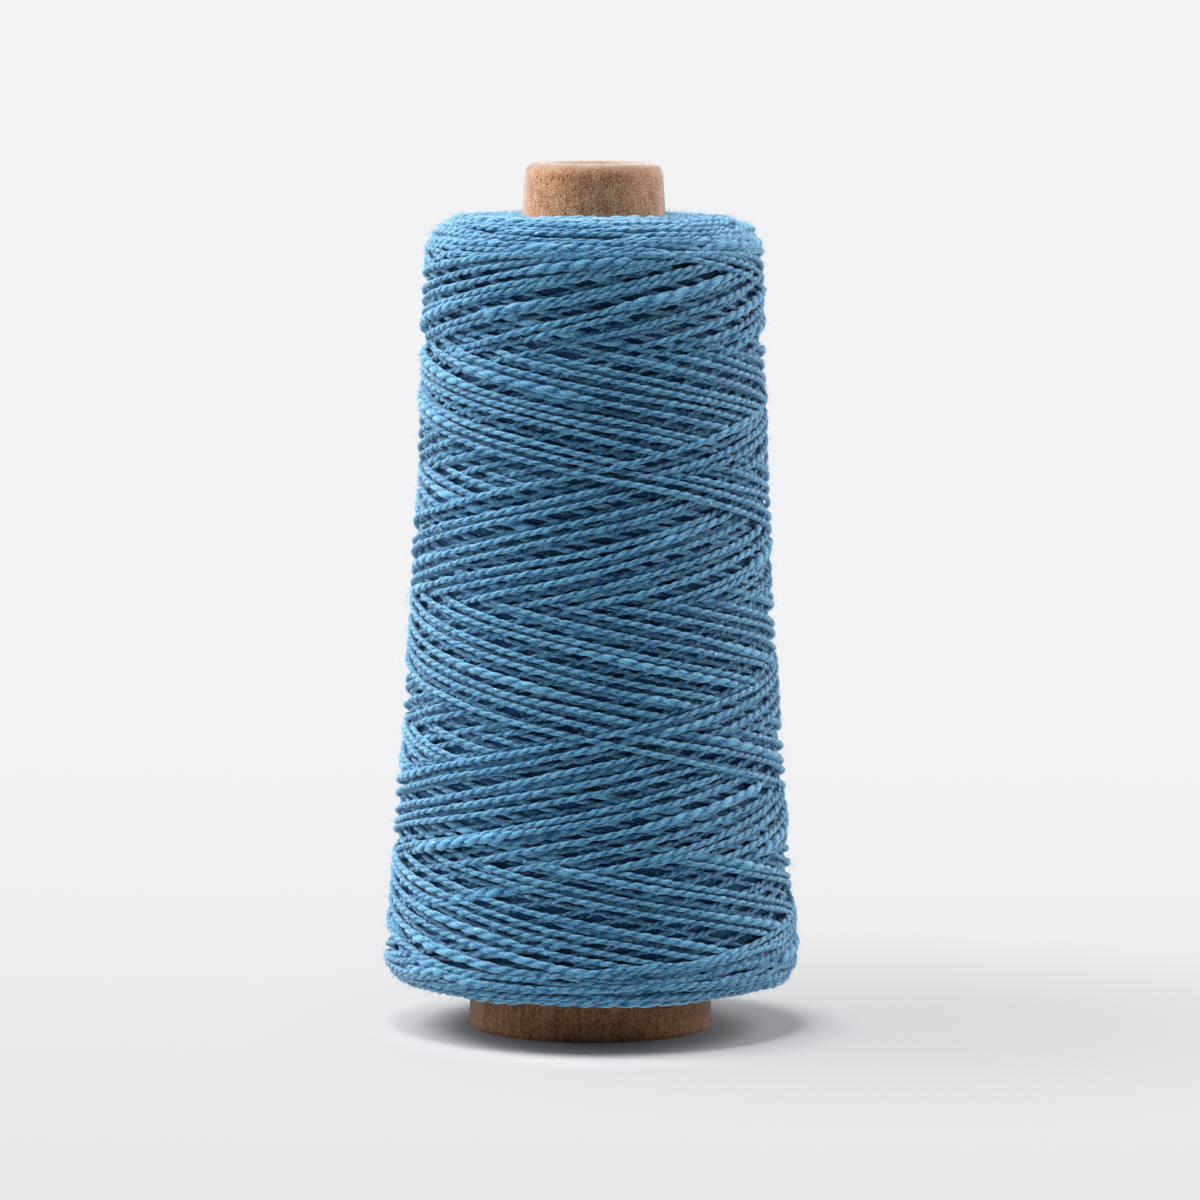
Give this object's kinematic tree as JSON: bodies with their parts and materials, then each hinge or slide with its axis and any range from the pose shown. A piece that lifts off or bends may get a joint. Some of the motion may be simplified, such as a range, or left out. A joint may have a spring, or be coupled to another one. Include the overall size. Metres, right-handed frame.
{
  "type": "spool of thread",
  "caption": "Tapered paper cone with a rolled nose, carrying a cross-wound package of thick-and-thin slub yarn.",
  "frame": {"origin": "centre of the cone's base edge, on the surface it stands on", "axes": "+Z along the cone's axis, from the base to the nose"},
  "size_m": [0.0816, 0.082, 0.17],
  "materials": {
    "kraft_paperboard": "matt laminated kraft, sanded at the nose",
    "slub_yarn": "soft two-ply slub cotton"
  },
  "bodies": {
    "root": {"inner_ply": "kraft_paperboard", "middle_ply": "kraft_paperboard", "outer_ply": "kraft_paperboard", "yarn_core": "slub_yarn", "outer_winding": "slub_yarn"}
  },
  "joints": []
}
